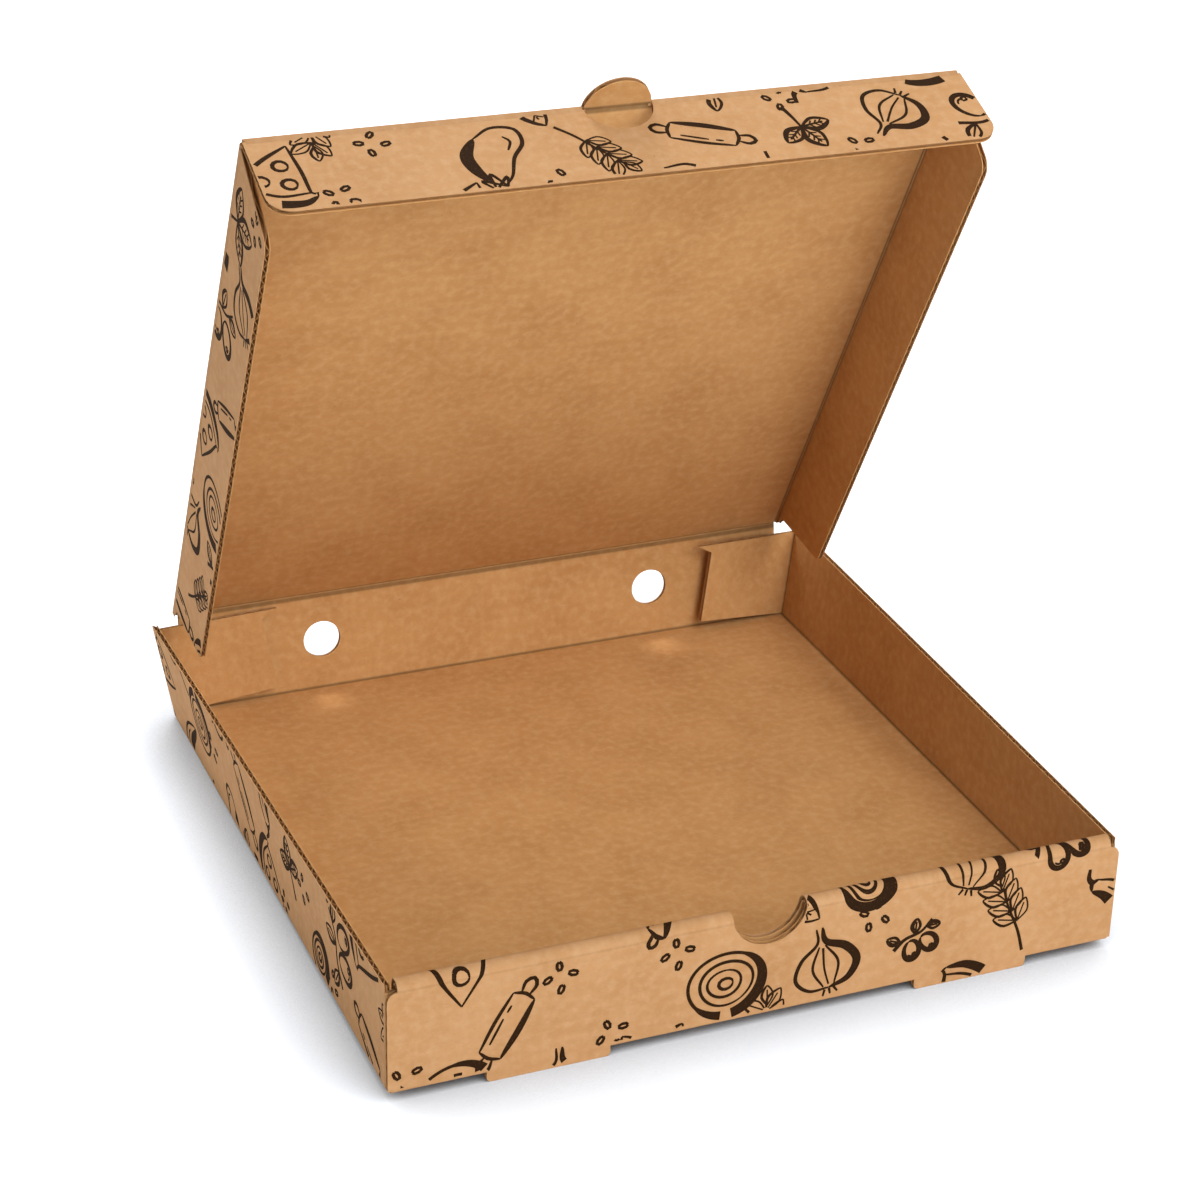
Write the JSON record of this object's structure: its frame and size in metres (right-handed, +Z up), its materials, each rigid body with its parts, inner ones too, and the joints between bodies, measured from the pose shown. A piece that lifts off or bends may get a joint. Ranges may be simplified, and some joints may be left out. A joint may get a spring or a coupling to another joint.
{
  "type": "pizza box",
  "caption": "Folded corrugated-board take-away pizza box with a rolled front wall, vent holes and a hinged tuck-in lid held open.",
  "frame": {"origin": "under the middle of the box's footprint, at the level of the front lips' lower edges", "axes": "+X to the right along the front wall, +Y from the front wall to the hinge, +Z up"},
  "size_m": [0.348, 0.3422, 0.3557],
  "materials": {
    "tray": "matt kraft liner with black line print outside",
    "lid": "matt kraft liner with black line print outside",
    "lid_left_flap": "matt kraft liner with black line print outside",
    "lid_right_flap": "matt kraft liner with black line print outside",
    "lid_front_flap": "matt kraft liner with black line print outside"
  },
  "bodies": {
    "tray": {"tray": "tray"},
    "lid": {"lid": "lid"},
    "lid_left_flap": {"lid_left_flap": "lid_left_flap"},
    "lid_right_flap": {"lid_right_flap": "lid_right_flap"},
    "lid_front_flap": {"lid_front_flap": "lid_front_flap"}
  },
  "joints": [
    {"name": "lid_hinge", "type": "hinge", "parent": "tray", "child": "lid", "pos_m": [0, 0.16985, 0.0562], "axis": [-1, 0, 0], "range_deg": [-61.45, 118.3]},
    {"name": "left_flap_fold", "type": "hinge", "parent": "lid", "child": "lid_left_flap", "pos_m": [-0.1618, 0.16985, 0.0562], "axis": [0, 0.4741, -0.8805], "range_deg": [-40, 90]},
    {"name": "right_flap_fold", "type": "hinge", "parent": "lid", "child": "lid_right_flap", "pos_m": [0.1618, 0.16985, 0.0562], "axis": [0, -0.4741, 0.8805], "range_deg": [-40, 90]},
    {"name": "front_flap_fold", "type": "hinge", "parent": "lid", "child": "lid_front_flap", "pos_m": [0, 0.01624, 0.34147], "axis": [-1, 0, 0], "range_deg": [-15.5, 84.5]}
  ]
}
